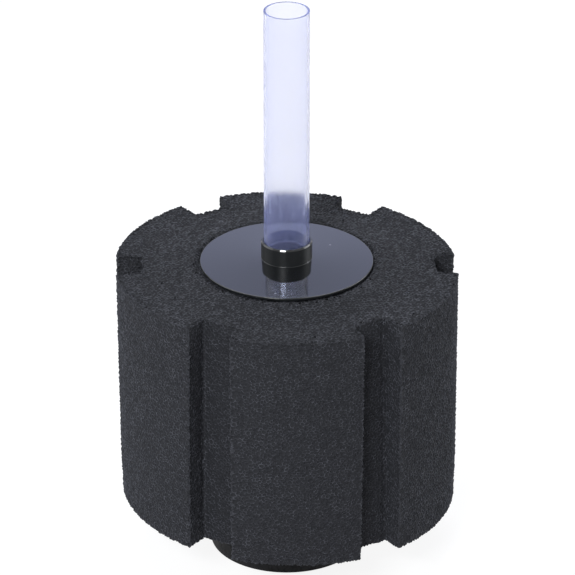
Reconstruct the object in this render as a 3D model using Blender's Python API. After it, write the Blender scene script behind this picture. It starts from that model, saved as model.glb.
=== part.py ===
"""An air-driven sponge filter for an aquarium or a small pond.

A grooved foam sleeve slides over a slotted strainer core that stands in a weighted round base.
A plate with a collar closes the top of the core and holds a clear lift tube. Air comes down the
lift tube to a hose nipple at the foot of the core, and its bubbles carry the water up the tube.

Metres, +Z up. The origin is the middle of the base's underside. Every piece is modelled on its own
Z axis from its seat upwards, and is then placed on the piece that carries it.
"""

import math

import bmesh
import bpy
from mathutils import Matrix

# Clear lift tube
TUBE_DIAMETER = 0.0160
TUBE_WALL = 0.0008
TUBE_LENGTH = 0.0912

# Top plate, with the collar above it and the spigot below it
PLATE_DIAMETER = 0.0610
PLATE_THICKNESS = 0.0016
PLATE_EDGE_ROUND = 0.0006
COLLAR_WALL = 0.0008
COLLAR_HEIGHT = 0.0078
COLLAR_RIM_ROUND = 0.0004
COLLAR_FOOT_FILLET = 0.0009
TUBE_INSERTION = 0.0045
LEDGE_THICKNESS = 0.0015
SPIGOT_DEPTH = 0.0080
SPIGOT_WALL = 0.0015

# Foam sleeve
SPONGE_DIAMETER = 0.1200
SPONGE_HEIGHT = 0.0876
GROOVE_COUNT = 6
GROOVE_MOUTH_WIDTH = 0.0150
GROOVE_FLOOR_WIDTH = 0.0125
GROOVE_DEPTH = 0.0092
GROOVE_TURN = math.radians(2.9)

# Slotted strainer core
CORE_DIAMETER = 0.0240
CORE_WALL = 0.0020
SLOT_COLUMNS = 8
SLOT_WIDTH = 0.0032
SLOT_HEIGHT = 0.0115
SLOT_RIB = 0.0035
SLOT_END_MARGIN = 0.0025

# Weighted base
BASE_DIAMETER = 0.0550
BASE_HEIGHT = 0.0220
BASE_WALL = 0.0020
BASE_TOP_WALL = 0.0025
BASE_EDGE_ROUND = 0.0015
WELL_WALL = 0.0018
WELL_FLOOR = 0.0022
COVER_THICKNESS = 0.0020
COVER_RIM = 0.0060
COVER_RECESS = 0.0006

# Air nozzle at the foot of the core
NOZZLE_FLANGE = 0.0030
NOZZLE_RIM = 0.0018
AIR_CHAMBER_DEPTH = 0.0014
NIPPLE_DIAMETER = 0.0042
NIPPLE_BORE = 0.0022
BARB_COUNT = 3
BARB_TAPER = 0.0028
BARB_GAP = 0.0010
BARB_RISE = 0.0005
JET_COUNT = 8
JET_DIAMETER = 0.0010

# Clearances: round push fits, faces that seat on each other, and the foam round the core
PUSH_FIT = 0.0002
SEAT_GAP = 0.0003
FOAM_FIT = 0.0003

# Facets of the round pieces, and how far a cutter runs past what it cuts
ROUND_FACETS = 48
NOZZLE_FACETS = 24
JET_FACETS = 8
ARC_STEPS = 4
SMOOTH_ANGLE = math.radians(35)
WELD_DISTANCE = 1e-6
CUT_MARGIN = 0.002

# Radii shared by pieces that fit into each other
tube_radius = TUBE_DIAMETER / 2
tube_bore = tube_radius - TUBE_WALL
core_radius = CORE_DIAMETER / 2
core_bore = core_radius - CORE_WALL
base_radius = BASE_DIAMETER / 2
base_bore = base_radius - BASE_WALL
cover_seat_radius = base_radius - BASE_WALL / 2
well_bore = core_radius + PUSH_FIT
well_radius = well_bore + WELL_WALL

# Heights inside the base, from its underside
cover_seat = COVER_THICKNESS + SEAT_GAP
well_floor = cover_seat + WELL_FLOOR
base_ceiling = BASE_HEIGHT - BASE_TOP_WALL

# Height of the ledge that the tube stands on, from the plate's underside
tube_stop = PLATE_THICKNESS + COLLAR_HEIGHT - TUBE_INSERTION


def clear_scene():
    """Removes every object of the start-up scene."""
    for obj in list(bpy.data.objects):
        bpy.data.objects.remove(obj, do_unlink=True)


def material(name, colour, roughness, transmission=0.0):
    """A Principled material of one colour."""
    made = bpy.data.materials.new(name)
    made.use_nodes = True
    shader = made.node_tree.nodes["Principled BSDF"]
    shader.inputs["Base Color"].default_value = (*colour, 1.0)
    shader.inputs["Roughness"].default_value = roughness
    shader.inputs["Metallic"].default_value = 0.0
    shader.inputs["Transmission Weight"].default_value = transmission
    made.diffuse_color = (*colour, 1.0)
    return made


def add_object(name, shape):
    """Turns a bmesh into a named object, smooth where it is round."""
    mesh = bpy.data.meshes.new(name)
    bmesh.ops.recalc_face_normals(shape, faces=shape.faces)
    shape.to_mesh(mesh)
    shape.free()
    mesh.shade_smooth()
    mesh.set_sharp_from_angle(angle=SMOOTH_ANGLE)
    obj = bpy.data.objects.new(name, mesh)
    bpy.context.scene.collection.objects.link(obj)
    return obj


def arc(centre, radius, start, end):
    """Points of a round corner in the (radius, height) plane, between two angles in degrees."""
    angles = [math.radians(start + (end - start) * step / ARC_STEPS) for step in range(ARC_STEPS + 1)]
    return [(centre[0] + radius * math.cos(a), centre[1] + radius * math.sin(a)) for a in angles]


def lathe(name, outline, facets=ROUND_FACETS, closed=True):
    """A solid turned about Z from (radius, height) points: a ring, or an open outline from axis to axis."""
    shape = bmesh.new()
    points = [shape.verts.new((radius, 0.0, height)) for radius, height in outline]
    following = points[1:] + points[:1] if closed else points[1:]
    edges = [shape.edges.new(pair) for pair in zip(points, following)]
    bmesh.ops.spin(
        shape,
        geom=points + edges,
        cent=(0.0, 0.0, 0.0),
        axis=(0.0, 0.0, 1.0),
        angle=math.tau,
        steps=facets,
        use_merge=True,
    )
    bmesh.ops.remove_doubles(shape, verts=shape.verts, dist=WELD_DISTANCE)
    return add_object(name, shape)


def sleeve(name, outer, inner, length):
    """A plain tube that stands on its own origin."""
    return lathe(name, [(outer, 0.0), (outer, length), (inner, length), (inner, 0.0)])


def prism(shape, corners, bottom, top, turn):
    """Adds an upright prism over flat (x, y) corners to a bmesh, turned by a matrix."""
    floor = [shape.verts.new((x, y, bottom)) for x, y in corners]
    face = shape.faces.new(floor)
    raised = bmesh.ops.extrude_face_region(shape, geom=[face])["geom"]
    lifted = [item for item in raised if isinstance(item, bmesh.types.BMVert)]
    bmesh.ops.translate(shape, verts=lifted, vec=(0.0, 0.0, top - bottom))
    bmesh.ops.transform(shape, matrix=turn, verts=floor + lifted)


def turned(count, index, first=0.0):
    """The turn about Z that places one of a ring of equal copies."""
    return Matrix.Rotation(first + math.tau * index / count, 4, "Z")


def cut(target, shape, name):
    """Takes the solids of a bmesh away from an object, with a cutter that moves with it."""
    cutter = add_object(name, shape)
    cutter.hide_render = True
    cutter.display_type = "WIRE"
    cutter.parent = target
    boolean = target.modifiers.new(name, "BOOLEAN")
    boolean.operation = "DIFFERENCE"
    boolean.object = cutter


def finish(obj, surface, carrier=None, rise=0.0):
    """Gives a piece its material and seats it at a height above its carrier's own origin."""
    obj.data.materials.append(surface)
    obj.parent = carrier
    obj.location.z = rise
    return obj


def make_base_shell():
    """An upturned cup with a well for the core, room for the ballast and a rebate for the cover."""
    edge = min(BASE_EDGE_ROUND, BASE_TOP_WALL, BASE_WALL)
    outline = [
        (0.0, cover_seat),
        (well_radius, cover_seat),
        (well_radius, base_ceiling),
        (base_bore, base_ceiling),
        (base_bore, cover_seat),
        (cover_seat_radius, cover_seat),
        (cover_seat_radius, 0.0),
        (base_radius, 0.0),
    ]
    outline += arc((base_radius - edge, BASE_HEIGHT - edge), edge, 0, 90)
    outline += [(well_bore, BASE_HEIGHT), (well_bore, well_floor), (0.0, well_floor)]
    return lathe("base_shell", outline, closed=False)


def make_base_cover():
    """A flat disc let into the base's underside, with a shallow recess inside its rim."""
    cover_radius = cover_seat_radius - PUSH_FIT
    recess_radius = cover_radius - COVER_RIM
    outline = [
        (0.0, COVER_RECESS),
        (recess_radius, COVER_RECESS),
        (recess_radius, 0.0),
        (cover_radius, 0.0),
        (cover_radius, COVER_THICKNESS),
        (0.0, COVER_THICKNESS),
    ]
    return lathe("base_cover", outline, closed=False)


def make_ballast_ring():
    """A cast ring that fills the space between the base's outer wall and the core's well."""
    height = base_ceiling - SEAT_GAP - cover_seat
    return sleeve("ballast_ring", base_bore - SEAT_GAP, well_radius + SEAT_GAP, height)


def make_strainer_core():
    """A tube with rows of upright slots, from just above the base to just below the plate's spigot."""
    length = BASE_HEIGHT + SPONGE_HEIGHT - well_floor
    core = sleeve("strainer_core", core_radius, core_bore, length)
    lowest = BASE_HEIGHT - well_floor + SLOT_END_MARGIN
    highest = length - SPIGOT_DEPTH - SLOT_END_MARGIN
    pitch = SLOT_HEIGHT + SLOT_RIB
    rows = int((highest - lowest + SLOT_RIB) / pitch)
    first = (lowest + highest - rows * pitch + SLOT_RIB) / 2
    half = SLOT_WIDTH / 2
    near = core_bore - CUT_MARGIN
    far = core_radius + CUT_MARGIN
    section = [(near, -half), (far, -half), (far, half), (near, half)]
    slots = bmesh.new()
    for row in range(rows):
        foot = first + row * pitch
        for column in range(SLOT_COLUMNS):
            prism(slots, section, foot, foot + SLOT_HEIGHT, turned(SLOT_COLUMNS, column))
    cut(core, slots, "strainer_slots")
    return core


def make_air_nozzle():
    """A barbed hose nipple on a flange whose ring of jets is fed by a chamber on its underside."""
    flange_radius = core_bore - PUSH_FIT
    chamber_radius = flange_radius - NOZZLE_RIM
    nipple_radius = NIPPLE_DIAMETER / 2
    bore_radius = NIPPLE_BORE / 2
    outline = [
        (bore_radius, AIR_CHAMBER_DEPTH),
        (chamber_radius, AIR_CHAMBER_DEPTH),
        (chamber_radius, 0.0),
        (flange_radius, 0.0),
        (flange_radius, NOZZLE_FLANGE),
        (nipple_radius, NOZZLE_FLANGE),
    ]
    tip = NOZZLE_FLANGE
    for _ in range(BARB_COUNT):
        shoulder = tip + BARB_GAP
        tip = shoulder + BARB_TAPER
        outline += [(nipple_radius, shoulder), (nipple_radius + BARB_RISE, shoulder), (nipple_radius, tip)]
    outline.append((bore_radius, tip))
    nozzle = lathe("air_nozzle", outline, NOZZLE_FACETS)
    jet_circle = (nipple_radius + chamber_radius) / 2
    jets = bmesh.new()
    for index in range(JET_COUNT):
        bmesh.ops.create_cone(
            jets,
            cap_ends=True,
            segments=JET_FACETS,
            radius1=JET_DIAMETER / 2,
            radius2=JET_DIAMETER / 2,
            depth=2 * (NOZZLE_FLANGE + CUT_MARGIN),
            matrix=turned(JET_COUNT, index) @ Matrix.Translation((jet_circle, 0.0, 0.0)),
        )
    cut(nozzle, jets, "nozzle_jets")
    return nozzle


def make_sponge():
    """A foam sleeve with a bore for the core and upright grooves that flare towards the outside."""
    sponge_radius = SPONGE_DIAMETER / 2
    sponge = sleeve("sponge", sponge_radius, core_radius + FOAM_FIT, SPONGE_HEIGHT)
    flare = (GROOVE_MOUTH_WIDTH - GROOVE_FLOOR_WIDTH) / 2 / GROOVE_DEPTH
    floor_half = GROOVE_FLOOR_WIDTH / 2
    mouth_half = GROOVE_MOUTH_WIDTH / 2 + flare * CUT_MARGIN
    near = sponge_radius - GROOVE_DEPTH
    far = sponge_radius + CUT_MARGIN
    section = [(near, -floor_half), (far, -mouth_half), (far, mouth_half), (near, floor_half)]
    first = math.pi / GROOVE_COUNT - math.pi / 2 + GROOVE_TURN
    grooves = bmesh.new()
    for index in range(GROOVE_COUNT):
        prism(grooves, section, -CUT_MARGIN, SPONGE_HEIGHT + CUT_MARGIN, turned(GROOVE_COUNT, index, first))
    cut(sponge, grooves, "sponge_grooves")
    return sponge


def make_top_plate():
    """A thin disc with a tube collar on top, a stop ledge inside and a spigot that enters the core."""
    plate_radius = PLATE_DIAMETER / 2
    collar_top = PLATE_THICKNESS + COLLAR_HEIGHT
    socket_bore = tube_radius + PUSH_FIT
    collar_radius = socket_bore + COLLAR_WALL
    spigot_radius = core_bore - PUSH_FIT
    spigot_bore = spigot_radius - SPIGOT_WALL
    edge = min(PLATE_EDGE_ROUND, PLATE_THICKNESS / 2)
    rim = min(COLLAR_RIM_ROUND, COLLAR_WALL / 2)
    fillet = min(COLLAR_FOOT_FILLET, COLLAR_HEIGHT - rim)
    outline = [(spigot_radius, -SPIGOT_DEPTH), (spigot_radius, 0.0), (plate_radius, 0.0)]
    outline += arc((plate_radius - edge, PLATE_THICKNESS - edge), edge, 0, 90)
    outline += arc((collar_radius + fillet, PLATE_THICKNESS + fillet), fillet, 270, 180)
    outline += arc((collar_radius - rim, collar_top - rim), rim, 0, 90)
    outline += [
        (socket_bore, collar_top),
        (socket_bore, tube_stop),
        (tube_bore, tube_stop),
        (tube_bore, tube_stop - LEDGE_THICKNESS),
        (spigot_bore, tube_stop - LEDGE_THICKNESS),
        (spigot_bore, -SPIGOT_DEPTH),
    ]
    return lathe("top_plate", outline)


def make_lift_tube():
    """A straight cut length of clear tube."""
    return sleeve("lift_tube", tube_radius, tube_bore, TUBE_LENGTH)


def main():
    clear_scene()
    satin_black = material("satin_black_plastic", (0.015, 0.015, 0.017), 0.45)
    gloss_black = material("gloss_black_plastic", (0.012, 0.012, 0.014), 0.12)
    black_foam = material("black_foam", (0.030, 0.031, 0.034), 0.95)
    cast_stone = material("cast_ballast", (0.30, 0.29, 0.27), 0.85)
    clear_plastic = material("clear_plastic", (0.86, 0.88, 0.98), 0.06, transmission=0.9)
    core_seat = well_floor + SEAT_GAP
    base = finish(make_base_shell(), satin_black)
    finish(make_base_cover(), satin_black, base)
    finish(make_ballast_ring(), cast_stone, base, cover_seat)
    finish(make_strainer_core(), satin_black, base, core_seat)
    finish(make_air_nozzle(), satin_black, base, core_seat)
    sponge = finish(make_sponge(), black_foam, base, BASE_HEIGHT + SEAT_GAP)
    plate = finish(make_top_plate(), gloss_black, sponge, SPONGE_HEIGHT + SEAT_GAP)
    finish(make_lift_tube(), clear_plastic, plate, tube_stop + SEAT_GAP)


main()
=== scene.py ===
"""The looks of a sponge filter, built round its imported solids.

A grooved foam block, a gloss plate and a clear lift tube show at rest. The slotted core, the air nozzle
and the weighted foot come to view when the pieces are drawn apart. Metres, +Z up.
"""

import math
import random

import bmesh
import bpy
import numpy as np
from mathutils import Matrix, Vector, noise
from mathutils.geometry import delaunay_2d_cdt


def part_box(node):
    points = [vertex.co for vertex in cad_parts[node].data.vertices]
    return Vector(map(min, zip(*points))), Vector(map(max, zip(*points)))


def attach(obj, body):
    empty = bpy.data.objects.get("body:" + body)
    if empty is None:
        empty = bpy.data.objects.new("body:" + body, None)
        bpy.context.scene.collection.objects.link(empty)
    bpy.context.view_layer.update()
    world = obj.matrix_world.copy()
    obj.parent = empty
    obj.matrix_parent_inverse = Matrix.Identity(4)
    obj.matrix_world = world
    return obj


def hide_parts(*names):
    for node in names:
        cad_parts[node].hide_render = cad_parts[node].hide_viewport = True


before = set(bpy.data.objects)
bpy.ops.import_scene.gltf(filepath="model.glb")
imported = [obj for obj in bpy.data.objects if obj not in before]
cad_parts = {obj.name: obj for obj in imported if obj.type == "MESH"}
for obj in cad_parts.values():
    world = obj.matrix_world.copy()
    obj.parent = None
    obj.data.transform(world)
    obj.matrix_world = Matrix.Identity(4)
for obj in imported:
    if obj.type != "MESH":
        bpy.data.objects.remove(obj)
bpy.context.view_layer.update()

# The photograph's view: the camera stands off a point beside the tube's axis and aims just below it
VIEW_DISTANCE = 1.3977
VIEW_ELEVATION = math.radians(26.47)
VIEW_CENTRE_HEIGHT = 0.1099
AIM_HEIGHT = 0.1007
VIEW_SIDE = 0.0003
LENS_MM = 248.5
SENSOR_MM = 36.0
CLIP_NEAR = 0.05
CLIP_FAR = 30.0

# Clear lift tube
TUBE_WALL = 0.0008
TUBE_EDGE = 0.00012

# Top plate with its collar and spigot
PLATE_THICKNESS = 0.0016
PLATE_EDGE = 0.0003
PLATE_UNDERCUT = 0.0009
PLATE_SIDE = 0.0009
PLATE_RISE = 0.0012
COLLAR_WALL = 0.0008
COLLAR_RIM = 0.00012
COLLAR_BEVEL = 0.00031
COLLAR_BEVEL_DROP = 0.00054
COLLAR_FOOT = 0.00016
TUBE_INSERTION = 0.0045
LEDGE_THICKNESS = 0.0015
SPIGOT_WALL = 0.0015

# Foam grooves: how far each was cut off its even place, in degrees, and how much wider and deeper
GROOVE_CUTS = (
    (-0.15, 0.0003, 0.0),
    (0.0, 0.0006, -0.0012),
    (-0.7, 0.0014, 0.0),
    (-1.9, 0.0012, 0.0),
    (-1.5, 0.0004, 0.0006),
    (0.3, 0.0007, 0.0),
)
GROOVE_CORNERS = 4
GROOVE_MOUTH = 0.0150
GROOVE_FLOOR = 0.0125
GROOVE_DEPTH = 0.0092
GROOVE_TURN = math.radians(3.5)
MOUTH_TRIES = 4

# The foam's sag: slopes at the top and the bottom of its left and right, and the radii where they set in
FOAM_LEFT_LEAN = (0.016, 0.024)
FOAM_RIGHT_LEAN = (0.024, 0.040)
FOAM_LEAN_START = 0.0315
FOAM_LEAN_FULL = 0.046

# Its shift at the bottom, its swell and low pinch as shares of the radius, and its slope behind
FOAM_SHIFT = 0.0004
FOAM_SWELL = 0.0035
FOAM_PINCH = 0.0070
FOAM_PINCH_START = 0.8
FOAM_BACK_DROP = 0.0060

# One groove gets shallower toward the bottom, near a direction and inside a radius that both fade out
GROOVE_RISE = 0.0020
GROOVE_RISE_MIDDLE = math.radians(-56.65)
GROOVE_RISE_TURNS = (math.radians(6.0), math.radians(12.0))
GROOVE_RISE_RADII = (0.0515, 0.0590)

# Places that are drawn round toward the bottom: direction, reach and turn, in degrees
FOAM_TUGS = ((-123.7, 14.0, 1.5), (-109.5, 9.0, 0.35), (-63.5, 9.0, 0.8))

# The lip of foam round the plate, and the radii where it starts, is full and ends
FOAM_LIP = 0.0012
FOAM_LIP_START = 0.0308
FOAM_LIP_FULL = 0.0317
FOAM_LIP_END = 0.048

# The foam's cells: the margin and the two cell sizes are in pitches, the spreads and the wear are shares
CELL_PITCH = 0.00125
CELL_STRETCH = 1.2
CELL_JITTER = 0.42
CELL_MARGIN = 0.55
CELL_DEPTH = 0.00031
CELL_TOP_DEPTH = 0.00060
CELL_TOP_SLOPES = (0.4, 0.8)
CELL_DEPTH_SPREAD = (0.6, 1.15)
CELL_LEAST_DEPTH = 0.35
CELL_OPENING = 0.82
CELL_OPENING_SPREAD = (0.85, 1.1)
CELL_PROUD = 0.00016
CELL_SUNK = 0.00010
SMALL_CELL = 0.5
WHOLE_CELL = 0.9
RIDGE_RARITY = 1.6
FOAM_SEED = 7
CORNER_PUSH = 0.0004
CORNER_LEAST = 0.00012
CORNER_WEAR = 0.28

# Flat map of the foam: the side of its square, and the places of its strips, its bore and its faces
MAP_SIDE = 0.327
MAP_STRIPS = ((0.002, 0.004), (0.002, 0.0985))
MAP_BORE = (0.2435, 0.004)
MAP_BOTTOM = (0.1860, 0.2505)
MAP_TOP = (0.0620, 0.2505)

# Slotted strainer core
CORE_WALL = 0.0020
CORE_STEPS = 96
SLOT_COLUMNS = 8
SLOT_ROWS = 5
SLOT_WIDTH = 0.0032
SLOT_HEIGHT = 0.0115
SLOT_RIB = 0.0035
SLOT_END_MARGIN = 0.0025

# Weighted foot
BASE_WALL = 0.0020
BASE_TOP_WALL = 0.0025
BASE_EDGE = 0.0015
WELL_WALL = 0.0018
WELL_FLOOR = 0.0022
COVER_RIM = 0.0060
COVER_RECESS = 0.0006

# Ballast ring: its edges, the longest patch that stays uncut, and the grains of its rough skin
BALLAST_STEPS = 96
BALLAST_EDGE = 0.0005
BALLAST_PATCH = 0.003
BALLAST_CUTS = 6
BALLAST_GRAINS = 700.0
BALLAST_ROUGH = 0.00025

# Air nozzle
NOZZLE_STEPS = 72
NOZZLE_FLANGE = 0.0030
NOZZLE_RIM = 0.0018
AIR_CHAMBER_DEPTH = 0.0014
NIPPLE_DIAMETER = 0.0042
NIPPLE_BORE = 0.0022
BARB_COUNT = 3
BARB_TAPER = 0.0028
BARB_GAP = 0.0010
BARB_RISE = 0.0005
JET_COUNT = 8
JET_ROWS = 1
JET_STEPS = 20
JET_DIAMETER = 0.0010

# Clearances of push fits, the foam and seats, and the small breaks on moulded edges
PUSH_FIT = 0.0002
FOAM_FIT = 0.0003
SEAT_GAP = 0.0003
FLOOR_GAP = 0.0002
EDGE_BREAK = 0.00025
INNER_BREAK = EDGE_BREAK / 2
BARB_BREAK = EDGE_BREAK / 3

# Fineness of the turned pieces, and the distances at which points are merged
ROUND_STEPS = 144
FILLET_STEPS = 6
FLAT_MARGIN = 0.00001
SMOOTH_ANGLE = math.radians(32)
WELD = 1e-6
FOAM_WELD = 10 * WELD

# The range that most of a noise's values fill, and its middle
NOISE_RANGE = (0.3, 0.7)
NOISE_MIDDLE = 0.5

# Foam finish: the dark colour painted into its pores as shade, its strands, the shares that slow and quick
# tones have in the strands, and how fast the painted shade gives way toward proud points
FOAM_PORE_SHADE = (0.0140, 0.0145, 0.0180, 1.0)
FOAM_DARK_STRAND = (0.058, 0.060, 0.071, 1.0)
FOAM_LIGHT_STRAND = (0.150, 0.155, 0.183, 1.0)
FOAM_MOTTLE_SHARE = 0.35
FOAM_FLECK_SHARE = 0.65
FOAM_PORE_FALL = 1.4

# Clear finish: how its roughness differs along the draw lines
TUBE_ROUGHNESS = (0.07, 0.14)

# Black plastics: their dust, scratches as turn and stretch, the slopes of upright sides, and their looks
DUST_COLOUR = (0.25, 0.25, 0.27, 1.0)
DUST_COVER = 0.5
SCRATCH_RUNS = ((0.6, 14.0), (-1.1, 9.0))
SKIN_LIGHTENING = 1.35
UPRIGHT_SLOPES = (0.1, 0.5)
GLOSS_PLASTIC = {
    "colour": (0.006, 0.007, 0.008, 1.0),
    "specular": 0.5,
    "roughness": 0.04,
    "spread": 0.04,
    "dull_sides": 0.30,
    "bump_depth": 0.000004,
    "grain": {"Slow scale": 60.0, "Fine scale": 900.0},
    "dust": {"Scale": 260.0, "Sparse": 0.94, "Size": 0.11},
    "scratches": {"Scale": 140.0, "Width": 0.02},
}
SATIN_PLASTIC = {
    "colour": (0.008, 0.008, 0.009, 1.0),
    "specular": 0.2,
    "roughness": 0.45,
    "spread": 0.15,
    "dull_sides": 0.10,
    "bump_depth": 0.00006,
    "grain": {"Slow scale": 60.0, "Fine scale": 900.0},
    "dust": {"Scale": 260.0, "Sparse": 0.94, "Size": 0.11},
    "scratches": {"Scale": 140.0, "Width": 0.02},
}

# Cast finish: greys of its fine grains, and the tone that its coarse grains take on toward their edges
CAST_DARK = (0.20, 0.19, 0.175, 1.0)
CAST_PALE = (0.42, 0.41, 0.385, 1.0)
CAST_COARSE = (0.55, 0.53, 0.5, 1.0)
CAST_COARSE_REACH = 0.6
CAST_COARSE_SHARE = 0.5

# Light levels: the backdrop's white, and the light that falls on the object from all round
WHITE = (1.0, 1.0, 1.0, 1.0)
BACKDROP_WHITE = 1.0
AMBIENT_TINT = (0.93, 0.96, 1.0, 1.0)
AMBIENT = 0.2

# Pale floor: its reach from the middle, how it looks to the eye, and what it throws back on the object
FLOOR_REACH = 6.0
FLOOR_PATCHES = 8
FLOOR_SHADE = (0.18, 0.18, 0.18, 1.0)
FLOOR_GLOW = 0.88
FLOOR_PLAIN = (0.8, 0.8, 0.8, 1.0)

# Lamps: broad soft ones at both sides, a flat key and a soft one in front, and two behind
LAMP_AIM = Vector((0.0, 0.0, 0.07))
LAMP_TINT = (0.94, 0.97, 1.0)
BACK_TINT = (0.06, 0.20, 1.0)

# Each lamp's name, place, width and height, watts and tint
LAMPS = (
    ("left_soft", (-0.95, 0.05, 0.50), (0.9, 0.9), 4.5, LAMP_TINT),
    ("right_soft", (0.95, 0.25, 0.45), (0.7, 0.5), 4.8, LAMP_TINT),
    ("flat_key", (-0.28, -0.90, 0.73), (0.42, 0.10), 7.4, LAMP_TINT),
    ("front_soft", (-0.32, -0.91, 0.73), (0.34, 0.34), 2.0, LAMP_TINT),
    ("top_soft", (0.0, 0.62, 1.0), (0.7, 0.4), 5.3, LAMP_TINT),
    ("back_soft", (0.0, 1.30, 0.87), (1.8, 1.1), 3.4, BACK_TINT),
)


def node(tree, kind, inputs=None, **settings):
    """Adds a node; an input's value is a number, a colour or the socket that feeds it."""
    made = tree.nodes.new(kind)
    for name, value in settings.items():
        setattr(made, name, value)
    for key, value in (inputs or {}).items():
        if isinstance(value, bpy.types.NodeSocket):
            tree.links.new(value, made.inputs[key])
        else:
            made.inputs[key].default_value = value
    return made


def maths(tree, operation, first, second=0.0):
    """The result of a Math node."""
    return node(tree, "ShaderNodeMath", {0: first, 1: second}, operation=operation).outputs[0]


def mixed(tree, factor, first, second):
    """A colour between two colours, by the numbers of the Mix node's colour sockets."""
    return node(tree, "ShaderNodeMix", {0: factor, 6: first, 7: second}, data_type="RGBA").outputs[2]


def ranged(tree, value, low, high, to_low, to_high):
    """A value mapped from one range to another and held inside it."""
    sizes = {"Value": value, "From Min": low, "From Max": high, "To Min": to_low, "To Max": to_high}
    return node(tree, "ShaderNodeMapRange", sizes).outputs[0]


def noise_value(tree, place, scale, detail):
    """A smooth noise over a piece's coordinates."""
    inputs = {"Vector": place, "Scale": scale, "Detail": detail}
    return node(tree, "ShaderNodeTexNoise", inputs).outputs["Fac"]


def new_group(name, inputs, outputs):
    """An empty shader node group with float inputs and outputs."""
    group = bpy.data.node_groups.new(name, "ShaderNodeTree")
    for label in inputs:
        group.interface.new_socket(label, in_out="INPUT", socket_type="NodeSocketFloat")
    for label in outputs:
        group.interface.new_socket(label, in_out="OUTPUT", socket_type="NodeSocketFloat")
    return group, group.nodes.new("NodeGroupInput").outputs, group.nodes.new("NodeGroupOutput").inputs


def place_coordinates(tree):
    """The piece's own coordinates, in metres."""
    return node(tree, "ShaderNodeTexCoord").outputs["Object"]


def make_moulded_grain():
    """Fine unevenness of a moulded skin: a slow tone and a quick grain."""
    group, given, result = new_group("moulded_grain", ["Slow scale", "Fine scale"], ["Slow", "Fine"])
    place = place_coordinates(group)
    group.links.new(noise_value(group, place, given["Slow scale"], detail=3.0), result["Slow"])
    group.links.new(noise_value(group, place, given["Fine scale"], detail=2.0), result["Fine"])
    return group


def make_settled_dust():
    """A mask of sparse specks of dust."""
    group, given, result = new_group("settled_dust", ["Scale", "Sparse", "Size"], ["Mask"])
    cells = node(group, "ShaderNodeTexVoronoi", {"Vector": place_coordinates(group), "Scale": given["Scale"]})
    chosen = node(group, "ShaderNodeSeparateColor", {"Color": cells.outputs["Color"]})
    here = maths(group, "GREATER_THAN", chosen.outputs["Red"], given["Sparse"])
    near = maths(group, "LESS_THAN", cells.outputs["Distance"], given["Size"])
    group.links.new(maths(group, "MULTIPLY", here, near), result["Mask"])
    return group


def make_fine_scratches():
    """A mask of hairline scratches that run in two directions."""
    group, given, result = new_group("fine_scratches", ["Scale", "Width"], ["Mask"])
    place = place_coordinates(group)
    masks = []
    for turn, stretch in SCRATCH_RUNS:
        lie = {"Vector": place, "Rotation": (0.0, 0.0, turn), "Scale": (1.0, stretch, 1.0)}
        lying = node(group, "ShaderNodeMapping", lie).outputs[0]
        wave = noise_value(group, lying, given["Scale"], detail=1.0)
        off_middle = maths(group, "ABSOLUTE", maths(group, "SUBTRACT", wave, NOISE_MIDDLE))
        masks.append(maths(group, "LESS_THAN", off_middle, given["Width"]))
    group.links.new(maths(group, "MAXIMUM", masks[0], masks[1]), result["Mask"])
    return group


def new_material(name, values):
    """A material with its Principled shader, whose plain sockets are set by name."""
    material = bpy.data.materials.new(name)
    material.use_nodes = True
    surface = material.node_tree.nodes["Principled BSDF"].inputs
    for label, value in values.items():
        surface[label].default_value = value
    return material, material.node_tree, surface


def placed_group(tree, group, values):
    """A shared group in a material, with the material's own values."""
    made = node(tree, "ShaderNodeGroup", node_tree=group)
    for label, value in values.items():
        made.inputs[label].default_value = value
    return made.outputs


def roughen(tree, surface, height, strength, depth):
    """Gives a material's surface a fine relief."""
    bump = node(tree, "ShaderNodeBump", {"Height": height, "Strength": strength, "Distance": depth})
    tree.links.new(bump.outputs[0], surface["Normal"])


def make_foam_finish():
    """Black open-celled foam with painted light and shade: the pores are painted dark as shade, and the
    strands are painted lighter the prouder they stand.
    """
    material, tree, surface = new_material("black_foam", {"Roughness": 0.8, "Specular IOR Level": 0.3})
    pore = node(tree, "ShaderNodeAttribute", attribute_name="pore").outputs["Fac"]
    place = place_coordinates(tree)
    slow = noise_value(tree, place, scale=70.0, detail=4.0)
    quick = noise_value(tree, place, scale=950.0, detail=2.0)
    mottle = ranged(tree, slow, *NOISE_RANGE, 0.0, FOAM_MOTTLE_SHARE)
    fleck = ranged(tree, quick, *NOISE_RANGE, 0.0, FOAM_FLECK_SHARE)
    strand = mixed(tree, maths(tree, "ADD", mottle, fleck), FOAM_DARK_STRAND, FOAM_LIGHT_STRAND)
    # Painted shade: points low in the pores take the dark pore colour, and the proudest strand tops are
    # painted lightest
    proud = maths(tree, "POWER", maths(tree, "SUBTRACT", 1.0, pore), FOAM_PORE_FALL)
    tree.links.new(mixed(tree, proud, FOAM_PORE_SHADE, strand), surface["Base Color"])
    return material


def make_clear_finish():
    """Clear extruded plastic with a blue cast, a slight haze and faint draw lines."""
    values = {
        "Base Color": (0.994, 0.996, 0.999, 1.0),
        "IOR": 1.5,
        "Specular Tint": (0.70, 0.75, 1.0, 1.0),
        "Transmission Weight": 1.0,
        "Sheen Weight": 0.255,
        "Sheen Roughness": 1.0,
        "Sheen Tint": (0.46, 0.52, 1.0, 1.0),
    }
    material, tree, surface = new_material("clear_blue_plastic", values)
    drawn_out = {"Vector": place_coordinates(tree), "Scale": (1.0, 1.0, 0.03)}
    drawn = node(tree, "ShaderNodeMapping", drawn_out).outputs[0]
    lines = noise_value(tree, drawn, scale=700.0, detail=2.0)
    tree.links.new(ranged(tree, lines, *NOISE_RANGE, *TUBE_ROUGHNESS), surface["Roughness"])
    roughen(tree, surface, lines, strength=0.05, depth=0.0002)
    return material


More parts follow.
